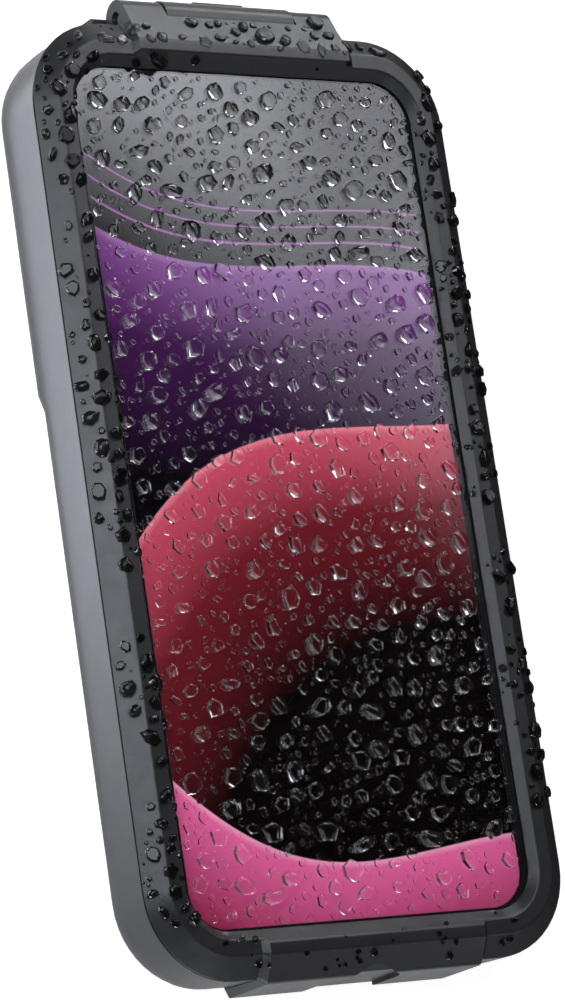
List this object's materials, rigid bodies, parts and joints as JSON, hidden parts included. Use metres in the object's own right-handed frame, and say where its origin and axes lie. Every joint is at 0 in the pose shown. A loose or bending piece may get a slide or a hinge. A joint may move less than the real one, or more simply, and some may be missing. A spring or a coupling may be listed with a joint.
{
  "type": "universal phone case",
  "caption": "Hard hinged phone case: a deep rear tub closed by a window frame with a clear touch window, a closing tab with a thumb scoop and a twist-lock socket on the back.",
  "frame": {"origin": "middle of the whole case seen from the front, level with its back", "axes": "+Z out of the window, +Y toward the hinge, +X to the right seen from the front"},
  "size_m": [0.0904, 0.1852, 0.0181],
  "materials": {
    "case_plastic": "fine matt moulded dark grey",
    "inner_plastic": "plain moulded black",
    "clear_plastic": "clear polished sheet",
    "seal_rubber": "soft matt black",
    "pin_steel": "plain bright steel",
    "pad_foam": "closed-cell foam, matt",
    "card_print": "printed film, abstract red, pink and purple waves on black"
  },
  "bodies": {
    "case": {"rear_shell": "case_plastic", "perimeter_seal": "seal_rubber", "hinge_pin": "pin_steel", "camera_window": "clear_plastic", "camera_gasket": "seal_rubber", "mount_socket": "inner_plastic", "mount_screw_1": "pin_steel", "mount_screw_2": "pin_steel", "mount_screw_3": "pin_steel", "mount_screw_4": "pin_steel", "back_pad": "pad_foam", "side_pad_left": "pad_foam", "side_pad_right": "pad_foam", "top_pad": "pad_foam", "bottom_pad": "pad_foam"},
    "lid": {"front_frame": "case_plastic", "touch_window": "clear_plastic", "window_gasket": "seal_rubber", "window_retainer": "inner_plastic", "display_card": "card_print"}
  },
  "joints": [
    {"name": "lid_hinge", "type": "hinge", "parent": "case", "child": "lid", "pos_m": [0, 0.0882, 0.011], "axis": [-1, 0, 0], "range_deg": [0, 90]}
  ]
}
